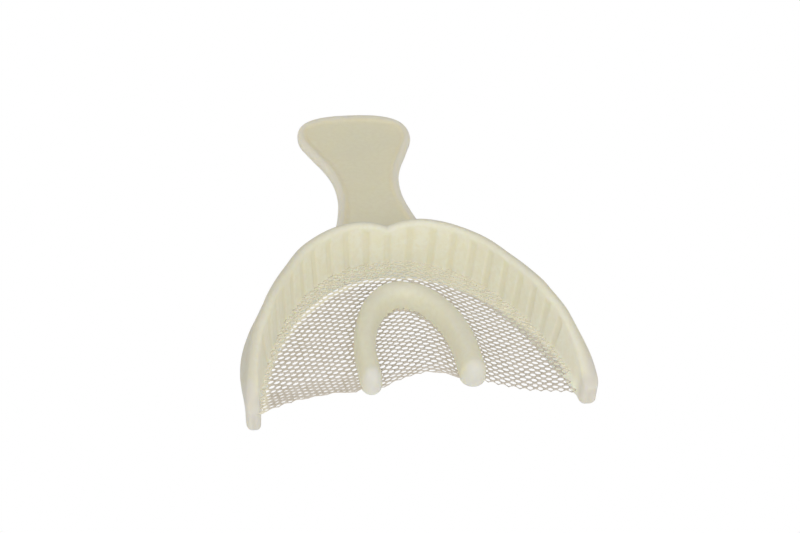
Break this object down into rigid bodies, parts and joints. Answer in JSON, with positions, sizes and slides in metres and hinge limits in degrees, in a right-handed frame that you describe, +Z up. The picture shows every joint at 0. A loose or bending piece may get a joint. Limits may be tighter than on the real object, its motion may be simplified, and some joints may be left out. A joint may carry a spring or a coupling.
{
  "type": "dental impression tray",
  "caption": "U-shaped dual-arch bite tray: ribbed wall above and below a net floor, a lingual bar carried by the net, and a flat fishtail handle.",
  "frame": {"origin": "middle of the tray's bounding box, on the plane of the lower rim that the tray rests on", "axes": "+X to the right, +Y from the open back of the arch towards the handle, +Z up, square to the net"},
  "size_m": [0.0742, 0.1108, 0.0156],
  "materials": {
    "tray_plastic": "cream injection-moulded plastic, satin, faintly translucent",
    "bar_plastic": "cream injection-moulded plastic, satin, faintly translucent",
    "net_fabric": "open tan net of thin plastic filament, matte"
  },
  "bodies": {
    "frame": {"upper_wall": "tray_plastic", "lower_wall": "tray_plastic", "handle": "tray_plastic", "net": "net_fabric"},
    "lingual_bar": {"lingual_bar_upper": "bar_plastic", "lingual_bar_lower": "bar_plastic"}
  },
  "joints": [
    {"name": "lingual_bar_tilt", "type": "hinge", "parent": "frame", "child": "lingual_bar", "pos_m": [0, -0.00655, 0.0048], "axis": [1, 0, 0], "range_deg": [-3, 3], "stiffness_Nm_per_rad": 0.4, "deforming": ["net"]}
  ]
}
